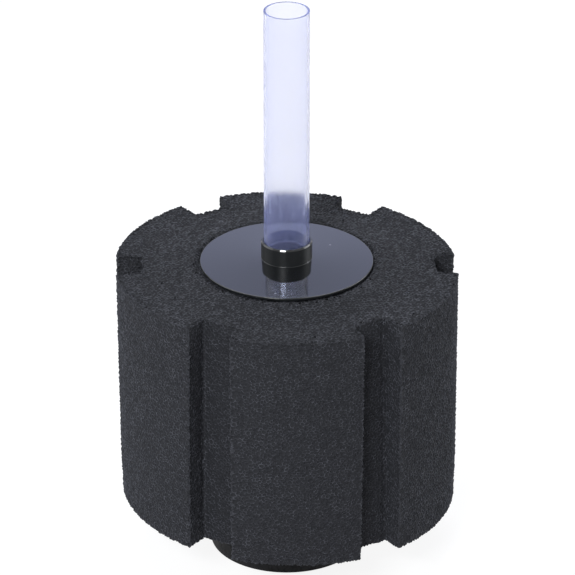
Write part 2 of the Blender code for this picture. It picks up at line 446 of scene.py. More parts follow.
def make_plastic_finish(name, groups, look):
    """Black moulded plastic with its own gloss, which is duller on the upright sides."""
    grain_group, dust_group, scratch_group = groups
    material, tree, surface = new_material(name, {"IOR": 1.48, "Specular IOR Level": look["specular"]})
    grain = placed_group(tree, grain_group, look["grain"])
    dust = placed_group(tree, dust_group, look["dust"])["Mask"]
    scratch = placed_group(tree, scratch_group, look["scratches"])["Mask"]
    lighter = tuple(SKIN_LIGHTENING * share for share in look["colour"][:3]) + (1.0,)
    skin = mixed(tree, grain["Slow"], look["colour"], lighter)
    dusty = mixed(tree, maths(tree, "MULTIPLY", dust, DUST_COVER), skin, DUST_COLOUR)
    tree.links.new(dusty, surface["Base Color"])
    normal = node(tree, "ShaderNodeNewGeometry").outputs["Normal"]
    slope = maths(tree, "ABSOLUTE", node(tree, "ShaderNodeSeparateXYZ", {0: normal}).outputs["Z"])
    side = ranged(tree, slope, *UPRIGHT_SLOPES, look["dull_sides"], 0.0)
    roughest = look["roughness"] + look["spread"]
    fine = ranged(tree, grain["Fine"], *NOISE_RANGE, look["roughness"], roughest)
    marked = maths(tree, "MULTIPLY", maths(tree, "MAXIMUM", scratch, dust), look["spread"])
    tree.links.new(maths(tree, "ADD", side, maths(tree, "ADD", fine, marked)), surface["Roughness"])
    roughen(tree, surface, grain["Fine"], strength=0.2, depth=look["bump_depth"])
    return material


def make_cast_finish():
    """Grey cast ballast with coarse and fine grains."""
    material, tree, surface = new_material("cast_ballast", {"Roughness": 0.9})
    place = place_coordinates(tree)
    coarse = node(tree, "ShaderNodeTexVoronoi", {"Vector": place, "Scale": 600.0}).outputs["Distance"]
    fine = noise_value(tree, place, scale=1500.0, detail=3.0)
    edge = ranged(tree, coarse, 0.0, CAST_COARSE_REACH, 0.0, CAST_COARSE_SHARE)
    grey = mixed(tree, fine, CAST_DARK, CAST_PALE)
    tree.links.new(mixed(tree, edge, grey, CAST_COARSE), surface["Base Color"])
    roughen(tree, surface, fine, strength=0.5, depth=0.0004)
    return material


def filleted(corners):
    """An outline whose corners, given as radius, height and round, are rounded off.

    A point just off each end of a round keeps the shading of the straight runs flat.
    """
    outline = []
    for index, (out, up, fillet) in enumerate(corners):
        here = Vector((out, up))
        if not fillet:
            outline.append(here)
            continue
        back = (Vector(corners[index - 1][:2]) - here).normalized()
        ahead = (Vector(corners[(index + 1) % len(corners)][:2]) - here).normalized()
        half = back.angle(ahead) / 2
        centre = here + (back + ahead).normalized() * fillet / math.sin(half)
        arm = here + back * fillet / math.tan(half) - centre
        sweep = -arm.angle_signed(here + ahead * fillet / math.tan(half) - centre)
        outline.append(here + back * (fillet / math.tan(half) + FLAT_MARGIN))
        for step in range(FILLET_STEPS + 1):
            outline.append(centre + Matrix.Rotation(sweep * step / FILLET_STEPS, 2) @ arm)
        outline.append(here + ahead * (fillet / math.tan(half) + FLAT_MARGIN))
    return outline


def sleeve_outline(outer, inner, low, high, edge):
    """The outline of a plain sleeve with rounded edges."""
    return filleted([(outer, low, edge), (outer, high, edge), (inner, high, edge), (inner, low, edge)])


def turned(outline, closed=True, steps=ROUND_STEPS):
    """A shape turned about Z from an outline of radii and heights."""
    shape = bmesh.new()
    angles = [2 * math.pi * step / steps for step in range(steps)]
    rings = []
    for out, up in outline:
        if out < WELD:
            rings.append([shape.verts.new((0.0, 0.0, up))] * steps)
        else:
            rings.append([shape.verts.new((out * math.cos(a), out * math.sin(a), up)) for a in angles])
    for lower, upper in zip(rings, rings[1:] + (rings[:1] if closed else [])):
        for step in range(steps):
            after = (step + 1) % steps
            corners = dict.fromkeys((lower[step], lower[after], upper[after], upper[step]))
            if len(corners) > 2:
                shape.faces.new(corners)
    bmesh.ops.recalc_face_normals(shape, faces=shape.faces)
    return shape


def shade(mesh):
    """Smooth shading, with the true edges kept sharp."""
    mesh.shade_smooth()
    mesh.set_sharp_from_angle(angle=SMOOTH_ANGLE)


def new_piece(name, shape, finish):
    """An object at the origin from a finished shape."""
    mesh = bpy.data.meshes.new(name)
    shape.to_mesh(mesh)
    shape.free()
    mesh.materials.append(finish)
    shade(mesh)
    piece = bpy.data.objects.new(name, mesh)
    bpy.context.scene.collection.objects.link(piece)
    return piece


def stands_for(piece, body, cad_node):
    """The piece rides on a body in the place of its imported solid."""
    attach(piece, body)
    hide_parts(cad_node)


def new_geometry_tree(name, inputs):
    """An empty geometry tree with a geometry input and output and named inputs."""
    tree = bpy.data.node_groups.new(name, "GeometryNodeTree")
    tree.interface.new_socket("Geometry", in_out="INPUT", socket_type="NodeSocketGeometry")
    for label, kind in inputs.items():
        tree.interface.new_socket(label, in_out="INPUT", socket_type="NodeSocket" + kind)
    tree.interface.new_socket("Geometry", in_out="OUTPUT", socket_type="NodeSocketGeometry")
    return tree, tree.nodes.new("NodeGroupInput").outputs, tree.nodes.new("NodeGroupOutput").inputs[0]


def end_tree(tree, geometry, finish, result):
    """Ends a geometry tree with plain geometry in its finish."""
    whole = node(tree, "GeometryNodeRealizeInstances", {"Geometry": geometry}).outputs[0]
    done = node(tree, "GeometryNodeSetMaterial", {"Geometry": whole, "Material": finish}).outputs[0]
    tree.links.new(done, result)


def grow(piece, tree, values):
    """Makes a geometry tree's result the piece's plain mesh."""
    modifier = piece.modifiers.new(tree.name, "NODES")
    modifier.node_group = tree
    for item in tree.interface.items_tree:
        if item.in_out == "INPUT" and item.name in values:
            modifier[item.identifier] = values[item.name]
    evaluated = piece.evaluated_get(bpy.context.evaluated_depsgraph_get())
    skin = piece.data
    piece.data = bpy.data.meshes.new_from_object(evaluated)
    piece.data.name = skin.name
    piece.modifiers.clear()
    bpy.data.meshes.remove(skin)


def random_between(tree, low, high, seed):
    """A random value for each element, by the numbers of the Random Value node's float sockets."""
    spread = {2: low, 3: high, 8: seed}
    return node(tree, "FunctionNodeRandomValue", spread, data_type="FLOAT").outputs[1]


def spread_value(tree, value, spread, seed):
    """A value for each element that differs at random between two shares of a given one."""
    low = maths(tree, "MULTIPLY", value, spread[0])
    high = maths(tree, "MULTIPLY", value, spread[1])
    return random_between(tree, low, high, seed)


def store_value(tree, geometry, name, value):
    """The geometry with a named value on each of its points."""
    inputs = {"Geometry": geometry, "Name": name, "Value": value}
    return node(tree, "GeometryNodeStoreNamedAttribute", inputs, data_type="FLOAT", domain="POINT").outputs[0]


def named_value(tree, name):
    """A value that was stored on the points under a name."""
    return node(tree, "GeometryNodeInputNamedAttribute", {"Name": name}, data_type="FLOAT").outputs[0]


def own_seed(tree, seed, step):
    """A seed of its own for each random value of a tree."""
    return node(tree, "FunctionNodeIntegerMath", {0: seed, 1: step}, operation="ADD").outputs[0]


def make_foam_cells():
    """Turns a fine skin of triangles into one open pore for each of its points."""
    sizes = ("Depth", "Top depth", "Opening", "Proud", "Sunk", "Wear", "Small cell", "Whole cell")
    inputs = {label: "Float" for label in sizes} | {"Seed": "Int", "Finish": "Material"}
    tree, given, result = new_geometry_tree("foam_cells", inputs)
    seeds = [own_seed(tree, given["Seed"], step) for step in range(3)]
    cells = node(tree, "GeometryNodeDualMesh", {"Mesh": given["Geometry"]}).outputs[0]
    # Each point's random pore value sets both its rise and how much painted shade the foam finish gives it
    noted = store_value(tree, cells, "pore", random_between(tree, 0.0, 1.0, seeds[0]))
    pore = named_value(tree, "pore")
    tip = maths(tree, "POWER", maths(tree, "SUBTRACT", 1.0, pore), RIDGE_RARITY)
    rise = ranged(tree, tip, 0.0, 1.0, maths(tree, "MULTIPLY", given["Sunk"], -1.0), given["Proud"])
    normal = node(tree, "GeometryNodeInputNormal").outputs[0]
    push = node(tree, "ShaderNodeVectorMath", {0: normal, "Scale": rise}, operation="SCALE").outputs[0]
    ragged = node(tree, "GeometryNodeSetPosition", {"Geometry": noted, "Offset": push}).outputs[0]
    upward = node(tree, "ShaderNodeSeparateXYZ", {0: normal}).outputs["Z"]
    whole_depth = ranged(tree, upward, *CELL_TOP_SLOPES, given["Depth"], given["Top depth"])
    worn = maths(tree, "MULTIPLY", named_value(tree, "corner"), given["Wear"])
    left = maths(tree, "SUBTRACT", 1.0, worn)
    width = maths(tree, "POWER", node(tree, "GeometryNodeInputMeshFaceArea").outputs[0], 0.5)
    open_share = ranged(tree, width, given["Small cell"], given["Whole cell"], CELL_LEAST_DEPTH, 1.0)
    depth = maths(tree, "MULTIPLY", maths(tree, "MULTIPLY", whole_depth, left), open_share)
    inward = [-share for share in reversed(CELL_DEPTH_SPREAD)]
    sinking = {"Mesh": ragged, "Offset Scale": spread_value(tree, depth, inward, seeds[1])}
    pitted = node(tree, "GeometryNodeExtrudeMesh", sinking, mode="FACES").outputs
    opening = spread_value(tree, given["Opening"], CELL_OPENING_SPREAD, seeds[2])
    narrowing = {"Geometry": pitted["Mesh"], "Selection": pitted["Top"], "Scale": opening}
    pinched = node(tree, "GeometryNodeScaleElements", narrowing).outputs[0]
    # Pit floors are marked for full painted shade, less where a worn corner makes them shallow
    floor = maths(tree, "MULTIPLY", pitted["Top"], left)
    marked = store_value(tree, pinched, "pore", maths(tree, "MAXIMUM", pore, floor))
    smooth = node(tree, "GeometryNodeSetShadeSmooth", {"Geometry": marked}).outputs[0]
    end_tree(tree, smooth, given["Finish"], result)
    return tree


def make_pierced_wall():
    """Cuts rows of one opening all round a wall."""
    inputs = {"Cutter": "Object", "Columns": "Int", "Rows": "Int", "Pitch": "Float", "Finish": "Material"}
    tree, given, result = new_geometry_tree("pierced_wall", inputs)
    cutter = node(tree, "GeometryNodeObjectInfo", {"Object": given["Cutter"]}).outputs["Geometry"]
    rise = node(tree, "ShaderNodeCombineXYZ", {"Z": given["Pitch"]}).outputs[0]
    column = node(tree, "GeometryNodeMeshLine", {"Count": given["Rows"], "Offset": rise}).outputs[0]
    stacked = node(tree, "GeometryNodeInstanceOnPoints", {"Points": column, "Instance": cutter}).outputs[0]
    on_axis = {"Count": given["Columns"], "Offset": (0.0, 0.0, 0.0)}
    ring = node(tree, "GeometryNodeMeshLine", on_axis).outputs[0]
    step = maths(tree, "DIVIDE", 2 * math.pi, given["Columns"])
    turn = maths(tree, "MULTIPLY", node(tree, "GeometryNodeInputIndex").outputs[0], step)
    facing = node(tree, "ShaderNodeCombineXYZ", {"Z": turn}).outputs[0]
    placing = {"Points": ring, "Instance": stacked, "Rotation": facing}
    round_wall = node(tree, "GeometryNodeInstanceOnPoints", placing).outputs[0]
    openings = node(tree, "GeometryNodeRealizeInstances", {"Geometry": round_wall}).outputs[0]
    cutting = {"Mesh 1": given["Geometry"], "Mesh 2": openings}
    cut = node(tree, "GeometryNodeMeshBoolean", cutting, operation="DIFFERENCE", solver="EXACT").outputs[0]
    end_tree(tree, cut, given["Finish"], result)
    return tree


def cut_grooves():
    """The direction of each groove's middle, and how much wider and deeper it is than planned."""
    step = 2 * math.pi / len(GROOVE_CUTS)
    first = step / 2 - math.pi / 2 + GROOVE_TURN
    grooves = []
    for index, (off, wider, deeper) in enumerate(GROOVE_CUTS):
        grooves.append((first + step * index + math.radians(off), wider, deeper))
    return grooves


def groove_half_width(radius, out, wider):
    """Half a groove's width at a distance from the axis, for a foam block of this radius."""
    flare = (GROOVE_MOUTH - GROOVE_FLOOR) / 2 / GROOVE_DEPTH
    return (GROOVE_FLOOR + wider) / 2 + flare * (out - radius + GROOVE_DEPTH)


def is_sector(index):
    """Whether a stretch of the outline is the round one that follows a groove's corners."""
    return index % GROOVE_CORNERS == GROOVE_CORNERS - 1


def grooved_outline(radius):
    """The foam's outline as points a cell apart, and the places in that list of its corners."""
    corners = []
    for angle, wider, deeper in cut_grooves():
        floor = radius - GROOVE_DEPTH - deeper
        # The corners of the mouth lie on the block's round side
        mouth = radius
        for _ in range(MOUTH_TRIES):
            mouth = math.sqrt(radius ** 2 - groove_half_width(radius, mouth, wider) ** 2)
        half_mouth = groove_half_width(radius, mouth, wider)
        half_floor = groove_half_width(radius, floor, wider)
        along = Vector((math.cos(angle), math.sin(angle)))
        across = Vector((-along.y, along.x))
        sides = ((mouth, -half_mouth), (floor, -half_floor), (floor, half_floor), (mouth, half_mouth))
        corners += [along * out + across * side for out, side in sides]
    points, marks = [], []
    for index, start in enumerate(corners):
        end = corners[(index + 1) % len(corners)]
        marks.append(len(points))
        sector = is_sector(index)
        turn = -start.angle_signed(end) if sector else 0.0
        length = radius * abs(turn) if sector else (end - start).length
        count = round(length / CELL_PITCH)
        for step in range(count):
            share = step / count
            points.append(Matrix.Rotation(turn * share, 2) @ start if sector else start.lerp(end, share))
    return points, marks


def cell_points(width, height, wanted, draw, stretch=1.0):
    """Points about a cell apart, in staggered rows that are shaken up, where they are wanted."""
    points = []
    pitch = CELL_PITCH * stretch
    row_pitch = CELL_PITCH / stretch * math.sqrt(3) / 2
    for row in range(int(height / row_pitch) + 2):
        for column in range(int(width / pitch) + 2):
            across = (column + row % 2 / 2 + draw.uniform(-CELL_JITTER, CELL_JITTER)) * pitch
            up = (row + draw.uniform(-CELL_JITTER, CELL_JITTER)) * row_pitch
            if wanted(across, up):
                points.append(Vector((across, up)))
    return points


def foam_wall(shape, loop, marks, low, high, draw, first_chart):
    """Adds the upright skin over a closed outline, with a line of points up each of its corners."""
    chart = shape.verts.layers.int["chart"]
    lengths = [(loop[(index + 1) % len(loop)] - point).length for index, point in enumerate(loop)]
    run = np.concatenate([[0.0], np.cumsum(lengths)])
    closed = [*loop, loop[0]]
    out_x = [point.x for point in closed]
    out_y = [point.y for point in closed]
    height = high - low
    stops = np.unique([0.0, *(run[mark] for mark in marks), run[-1]])
    keep_off = CELL_PITCH * CELL_MARGIN

    def inside(along, up):
        on_wall = keep_off < up < height - keep_off and along < run[-1]
        return on_wall and np.abs(stops - along).min() > keep_off

    rows = round(height / CELL_PITCH)
    points = [Vector((along, up)) for up in (0.0, height) for along in run]
    for stop in stops:
        points += [Vector((stop, height * row / rows)) for row in range(1, rows)]
    points += cell_points(run[-1], height, inside, draw, CELL_STRETCH)
    places, _, faces, *_ = delaunay_2d_cdt(points, [], [], 0, WELD)
    corners = []
    for place in places:
        x = np.interp(place.x, run, out_x)
        y = np.interp(place.x, run, out_y)
        span = min(int(np.searchsorted(stops, place.x, side="right")), len(stops) - 1)
        corners.append(shape.verts.new((x, y, low + place.y)))
        corners[-1][chart] = first_chart + span - 1
    for face in faces:
        shape.faces.new([corners[index] for index in face])


def loop_edges(first, count):
    """The edges of a closed loop of points, from its first place in a list."""
    return [(first + index, first + (index + 1) % count) for index in range(count)]


def foam_face(shape, loop, bore_loop, radius, bore, height, draw, own_chart):
    """Adds a flat skin between the grooved outline and the bore."""
    chart = shape.verts.layers.int["chart"]
    keep_off = CELL_PITCH * CELL_MARGIN
    grooves = cut_grooves()

    def inside(across, up):
        x, y = across - radius, up - radius
        out = math.hypot(x, y)
        if not bore + keep_off < out < radius - keep_off:
            return False
        for angle, wider, deeper in grooves:
            deep = x * math.cos(angle) + y * math.sin(angle)
            side = abs(y * math.cos(angle) - x * math.sin(angle))
            floor = radius - GROOVE_DEPTH - deeper
            if deep > floor - keep_off and side < groove_half_width(radius, deep, wider) + keep_off:
                return False
        return True

    points = [*loop, *bore_loop]
    edges = loop_edges(0, len(loop)) + loop_edges(len(loop), len(bore_loop))
    points += [p - Vector((radius, radius)) for p in cell_points(2 * radius, 2 * radius, inside, draw)]
    places, _, faces, *_ = delaunay_2d_cdt(points, edges, [], 1, WELD)
    corners = [shape.verts.new((p.x, p.y, height)) for p in places]
    for corner in corners:
        corner[chart] = own_chart
    for face in faces:
        middle = sum((places[index] for index in face), Vector((0.0, 0.0))) / len(face)
        if middle.length > bore:
            shape.faces.new([corners[index] for index in face])
    for corner in [corner for corner in corners if not corner.link_faces]:
        shape.verts.remove(corner)


def sharpen_corners(shape):
    """Moves the foam's corner lines off a little, since the cells across a corner cut it short."""
    shape.normal_update()
    corner = shape.verts.layers.float.new("corner")
    moves = []
    for vert in shape.verts:
        around = [edge.other_vert(vert).co for edge in vert.link_edges]
        stands = (vert.co - sum(around, Vector()) / len(around)).dot(vert.normal)
        if abs(stands) > CORNER_LEAST and math.hypot(vert.co.x, vert.co.y) > FOAM_LEAN_START:
            moves.append((vert, vert.normal * math.copysign(CORNER_PUSH, stands)))
    for vert, move in moves:
        vert.co += move
        vert[corner] = float(move.dot(vert.normal) > 0)


def eased(value, start, end):
    """0 at the start and 1 at the end, with a smooth step between them."""
    share = min(max((value - start) / (end - start), 0.0), 1.0)
    return share * share * (3 - 2 * share)


def turned_off(angles, start):
    """Angles as turns of at most half a circle from a start."""
    return (angles - start + math.pi) % (2 * math.pi) - math.pi


def tugged(place):
    """How far a place on the foam is drawn round at the block's bottom."""
    angle = math.atan2(place.y, place.x)
    turn = 0.0
    for middle, reach, most in FOAM_TUGS:
        off = math.degrees(abs(turned_off(angle, math.radians(middle))))
        turn += math.radians(most) * (1 - eased(off, 0.0, reach))
    return turn


def raised(place):
    """How far a place on the foam comes forward at the block's bottom, where one groove gets shallower."""
    off = abs(turned_off(math.atan2(place.y, place.x), GROOVE_RISE_MIDDLE))
    near = 1 - eased(off, *GROOVE_RISE_TURNS)
    return GROOVE_RISE * near * (1 - eased(place.xy.length, *GROOVE_RISE_RADII))


def lean_foam(shape):
    """Lets the soft block hang lower on its right and behind, swell, form a lip and draw round below."""
    heights = [vert.co.z for vert in shape.verts]
    low, high = min(heights), max(heights)
    for vert in shape.verts:
        place = vert.co
        out = math.hypot(place.x, place.y)
        share = eased(out, FOAM_LEAN_START, FOAM_LEAN_FULL)
        down = (high - place.z) / (high - low)
        lip = eased(out, FOAM_LIP_START, FOAM_LIP_FULL) * (1 - eased(out, FOAM_LIP_FULL, FOAM_LIP_END))
        rise = (FOAM_LIP * lip - FOAM_BACK_DROP * max(place.y, 0.0) * share) * (1 - down)
        top_slope, low_slope = FOAM_RIGHT_LEAN if place.x > 0 else FOAM_LEFT_LEAN
        slope = top_slope + (low_slope - top_slope) * down
        swell = (FOAM_SWELL * (2 - down) - FOAM_PINCH * eased(down, FOAM_PINCH_START, 1.0)) * share
        across = FOAM_SHIFT * down * share + place.x * swell
        moved = place + Vector((across, place.y * swell, rise - slope * place.x * share))
        moved.xy += place.xy.normalized() * raised(place) * down * share
        vert.co = Matrix.Rotation(-tugged(place) * down * share, 3, "Z") @ moved


def mesh_values(items, name, width, kind):
    """A property of all items of a mesh as one flat array."""
    values = np.empty(width * len(items), kind)
    items.foreach_get(name, values)
    return values


def lay_foam_map(mesh, loop, marks, radius, bore, low):
    """Gives the foam a flat map: its grooved side as two strips, then its bore and its two faces."""
    places = mesh_values(mesh.vertices, "co", 3, np.float32).reshape(-1, 3)
    users = mesh_values(mesh.loops, "vertex_index", 1, np.int32)
    counts = mesh_values(mesh.polygons, "loop_total", 1, np.int32)
    middles = mesh_values(mesh.polygons, "center", 3, np.float32).reshape(-1, 3)
    charts = np.repeat(mesh_values(mesh.attributes["chart"].data, "value", 1, np.int32), counts)
    x, y, z = places[users].T
    middle_x, middle_y, _ = np.repeat(middles, counts, axis=0).T
    angles = np.arctan2(y, x)
    flat = np.stack([x, y], axis=1)
    up = z - low
    strip_charts = len(marks) // len(MAP_STRIPS)
    for chart, mark in enumerate(marks):
        here = charts == chart
        strip_start, strip_foot = MAP_STRIPS[chart // strip_charts]
        if chart % strip_charts == 0:
            run = strip_start
        start = loop[mark]
        end = loop[marks[(chart + 1) % len(marks)]]
        if is_sector(chart):
            along = radius * turned_off(angles[here], math.atan2(start.y, start.x))
            length = radius * -start.angle_signed(end)
        else:
            ahead = (end - start).normalized()
            along = (x[here] - start.x) * ahead.x + (y[here] - start.y) * ahead.y
            length = (end - start).length
        flat[here] = np.stack([run + along, strip_foot + up[here]], axis=1)
        run += length
    here = charts == len(marks)
    faced = np.arctan2(middle_y[here], middle_x[here])
    along = bore * (faced + math.pi + turned_off(angles[here], faced))
    flat[here] = np.stack([MAP_BORE[0] + along, MAP_BORE[1] + up[here]], axis=1)
    for own_chart, middle in ((len(marks) + 1, MAP_BOTTOM), (len(marks) + 2, MAP_TOP)):
        flat[charts == own_chart] += middle
    flat_map = mesh.uv_layers.new(name="OFBake")
    flat_map.data.foreach_set("uv", (flat / MAP_SIDE).astype(np.float32).ravel())


def make_foam_block(cells, finish):
    """The grooved foam block, with an open pore at every cell of its skin."""
    low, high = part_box("sponge")
    radius = (high.y - low.y) / 2
    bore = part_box("strainer_core")[1].x + FOAM_FIT
    draw = random.Random(FOAM_SEED)
    loop, marks = grooved_outline(radius)
    count = round(2 * math.pi * bore / CELL_PITCH)
    angles = [2 * math.pi * index / count for index in range(count)]
    bore_loop = [Vector((bore * math.cos(angle), bore * math.sin(angle))) for angle in angles]
    bore_chart = len(marks)
    shape = bmesh.new()
    shape.verts.layers.int.new("chart")
    foam_wall(shape, loop, marks, low.z, high.z, draw, 0)
    foam_wall(shape, bore_loop, [], low.z, high.z, draw, bore_chart)
    foam_face(shape, loop, bore_loop, radius, bore, low.z, draw, bore_chart + 1)
    foam_face(shape, loop, bore_loop, radius, bore, high.z, draw, bore_chart + 2)
    bmesh.ops.remove_doubles(shape, verts=shape.verts, dist=FOAM_WELD)
    bmesh.ops.recalc_face_normals(shape, faces=shape.faces)
    sharpen_corners(shape)
    lean_foam(shape)
    piece = new_piece("foam_block", shape, finish)
    values = {
        "Depth": CELL_DEPTH,
        "Top depth": CELL_TOP_DEPTH,
        "Opening": CELL_OPENING,
        "Proud": CELL_PROUD,
        "Sunk": CELL_SUNK,
        "Wear": CORNER_WEAR,
        "Small cell": SMALL_CELL * CELL_PITCH,
        "Whole cell": WHOLE_CELL * CELL_PITCH,
        "Seed": FOAM_SEED,
        "Finish": finish,
    }
    grow(piece, cells, values)
    lay_foam_map(piece.data, loop, marks, radius, bore, low.z)
    stands_for(piece, "foam", "sponge")


def make_lift_tube(finish):
    """A cut length of clear tube with barely broken edges."""
    low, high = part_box("lift_tube")
    outline = sleeve_outline(high.x, high.x - TUBE_WALL, low.z, high.z, TUBE_EDGE)
    piece = new_piece("clear_lift_tube", turned(outline), finish)
    stands_for(piece, "tube", "lift_tube")


def make_top_plate(finish):
    """A disc that rises a little to its collar, with a stop ledge for the tube and a spigot for the core."""
    low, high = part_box("top_plate")
    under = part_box("sponge")[1].z + SEAT_GAP
    top = under + PLATE_THICKNESS
    tube_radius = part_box("lift_tube")[1].x
    socket = tube_radius + PUSH_FIT
    collar = socket + COLLAR_WALL
    throat = tube_radius - TUBE_WALL
    stop = high.z - TUBE_INSERTION
    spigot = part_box("strainer_core")[1].x - CORE_WALL - PUSH_FIT
    spigot_bore = spigot - SPIGOT_WALL
    corners = [
        (spigot, low.z, EDGE_BREAK),
        (spigot, under, EDGE_BREAK),
        (high.x - PLATE_UNDERCUT, under, EDGE_BREAK),
        (high.x, top - PLATE_SIDE, INNER_BREAK),
        (high.x, top, PLATE_EDGE),
        (collar, top + PLATE_RISE, COLLAR_FOOT),
        (collar, high.z - COLLAR_BEVEL_DROP, COLLAR_RIM),
        (collar - COLLAR_BEVEL, high.z, COLLAR_RIM),
        (socket, high.z, COLLAR_RIM),
        (socket, stop, INNER_BREAK),
        (throat, stop, INNER_BREAK),
        (throat, stop - LEDGE_THICKNESS, INNER_BREAK),
        (spigot_bore, stop - LEDGE_THICKNESS, EDGE_BREAK),
        (spigot_bore, low.z, EDGE_BREAK),
    ]
    piece = new_piece("gloss_top_plate", turned(filleted(corners)), finish)
    stands_for(piece, "plate", "top_plate")


def pierce(piece, pierced, cutter, columns, rows, pitch, finish):
    """Cuts openings all round a piece, shades it anew and puts the cutter away."""
    values = {"Cutter": cutter, "Columns": columns, "Rows": rows, "Pitch": pitch, "Finish": finish}
    grow(piece, pierced, values)
    shade(piece.data)
    bpy.data.objects.remove(cutter)


def slot_cutter(core_bore, core_radius, foot):
    """A slot with round ends, from inside the core's wall to outside it."""
    half = SLOT_WIDTH / 2
    reach = core_radius - core_bore
    shape = bmesh.new()
    outline = []
    for middle, start in ((foot + SLOT_HEIGHT - half, 0.0), (foot + half, math.pi)):
        for step in range(FILLET_STEPS + 1):
            angle = start + math.pi * step / FILLET_STEPS
            outline.append((half * math.cos(angle), middle + half * math.sin(angle)))
    face = shape.faces.new([shape.verts.new((core_bore - reach / 2, side, up)) for side, up in outline])
    grown_face = bmesh.ops.extrude_face_region(shape, geom=[face], use_keep_orig=True)
    moved = [item for item in grown_face["geom"] if isinstance(item, bmesh.types.BMVert)]
    bmesh.ops.translate(shape, verts=moved, vec=(2 * reach, 0.0, 0.0))
    bmesh.ops.recalc_face_normals(shape, faces=shape.faces)
    return shape


def make_strainer_core(pierced, finish):
    """The slotted tube that the foam sits on."""
    low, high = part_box("strainer_core")
    core_bore = high.x - CORE_WALL
    outline = sleeve_outline(high.x, core_bore, low.z, high.z, EDGE_BREAK)
    piece = new_piece("slotted_core", turned(outline, steps=CORE_STEPS), finish)
    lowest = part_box("base_shell")[1].z + SEAT_GAP + SLOT_END_MARGIN
    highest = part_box("top_plate")[0].z - SEAT_GAP - SLOT_END_MARGIN
    pitch = SLOT_HEIGHT + SLOT_RIB
    foot = (lowest + highest - SLOT_ROWS * pitch + SLOT_RIB) / 2
    cutter = new_piece("slot_cutter", slot_cutter(core_bore, high.x, foot), finish)
    pierce(piece, pierced, cutter, SLOT_COLUMNS, SLOT_ROWS, pitch, finish)
    stands_for(piece, "base", "strainer_core")


def jet_cutter(out, up):
    """A pin right through the nozzle's flange, at a distance from the axis and a height."""
    shape = bmesh.new()
    bmesh.ops.create_cone(
        shape,
        cap_ends=True,
        segments=JET_STEPS,
        radius1=JET_DIAMETER / 2,
        radius2=JET_DIAMETER / 2,
        depth=2 * NOZZLE_FLANGE,
        matrix=Matrix.Translation((out, 0.0, up)),
    )
    return shape


def make_air_nozzle(pierced, finish):
    """A barbed nipple on a flange with a ring of air jets."""
    low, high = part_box("air_nozzle")
    flange = high.x
    chamber = flange - NOZZLE_RIM
    nipple = NIPPLE_DIAMETER / 2
    bore = NIPPLE_BORE / 2
    seat = low.z
    flange_top = seat + NOZZLE_FLANGE
    corners = [
        (bore, seat + AIR_CHAMBER_DEPTH, EDGE_BREAK),
        (chamber, seat + AIR_CHAMBER_DEPTH, EDGE_BREAK),
        (chamber, seat, EDGE_BREAK),
        (flange, seat, EDGE_BREAK),
        (flange, flange_top, EDGE_BREAK),
        (nipple, flange_top, EDGE_BREAK),
    ]
    tip = flange_top
    for _ in range(BARB_COUNT):
        shoulder = tip + BARB_GAP
        tip = shoulder + BARB_TAPER
        corners.append((nipple, shoulder, BARB_BREAK))
        corners.append((nipple + BARB_RISE, shoulder, BARB_BREAK))
        corners.append((nipple, tip, BARB_BREAK))
    corners.append((bore, tip, EDGE_BREAK))
    piece = new_piece("barbed_air_nozzle", turned(filleted(corners), steps=NOZZLE_STEPS), finish)
    cutter = new_piece("jet_cutter", jet_cutter((nipple + chamber) / 2, seat + NOZZLE_FLANGE / 2), finish)
    pierce(piece, pierced, cutter, JET_COUNT, JET_ROWS, NOZZLE_FLANGE, finish)
    stands_for(piece, "base", "air_nozzle")


def base_sizes():
    """Radii and heights that the foot's pieces share."""
    _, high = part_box("base_shell")
    cover_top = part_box("base_cover")[1].z
    core_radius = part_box("strainer_core")[1].x
    well_bore = core_radius + PUSH_FIT
    return high.x, high.z, cover_top + SEAT_GAP, well_bore, well_bore + WELL_WALL


def make_base_shell(finish):
    """The round foot: an upturned cup with a well for the core and a rebate for its cover."""
    radius, height, seat, well_bore, well = base_sizes()
    bore = radius - BASE_WALL
    rebate = radius - BASE_WALL / 2
    ceiling = height - BASE_TOP_WALL
    corners = [
        (0.0, seat, 0.0),
        (well, seat, EDGE_BREAK),
        (well, ceiling, EDGE_BREAK),
        (bore, ceiling, EDGE_BREAK),
        (bore, seat, EDGE_BREAK),
        (rebate, seat, INNER_BREAK),
        (rebate, 0.0, EDGE_BREAK),
        (radius, 0.0, EDGE_BREAK),
        (radius, height, BASE_EDGE),
        (well_bore, height, EDGE_BREAK),
        (well_bore, seat + WELL_FLOOR, EDGE_BREAK),
        (0.0, seat + WELL_FLOOR, 0.0),
    ]
    piece = new_piece("round_foot", turned(filleted(corners), closed=False), finish)
    stands_for(piece, "base", "base_shell")


def make_base_cover(finish):
    """The disc let into the foot's underside, with a shallow recess inside its rim."""
    _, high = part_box("base_cover")
    recess = high.x - COVER_RIM
    corners = [
        (0.0, COVER_RECESS, 0.0),
        (recess, COVER_RECESS, EDGE_BREAK),
        (recess, 0.0, EDGE_BREAK),
        (high.x, 0.0, EDGE_BREAK),
        (high.x, high.z, EDGE_BREAK),
        (0.0, high.z, 0.0),
    ]
    piece = new_piece("foot_cover", turned(filleted(corners), closed=False), finish)
    stands_for(piece, "base", "base_cover")


def make_ballast_ring(finish):
    """A rough cast ring inside the foot."""
    low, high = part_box("ballast_ring")
    *_, well = base_sizes()
    outline = sleeve_outline(high.x, well + SEAT_GAP, low.z, high.z, BALLAST_EDGE)
    shape = turned(outline, steps=BALLAST_STEPS)
    long_edges = [edge for edge in shape.edges if edge.calc_length() > BALLAST_PATCH]
    bmesh.ops.subdivide_edges(shape, edges=long_edges, cuts=BALLAST_CUTS, use_grid_fill=True)
    for vert in shape.verts:
        vert.co -= vert.normal * abs(noise.noise(vert.co * BALLAST_GRAINS)) * BALLAST_ROUGH
    piece = new_piece("cast_ballast_ring", shape, finish)
    stands_for(piece, "base", "ballast_ring")


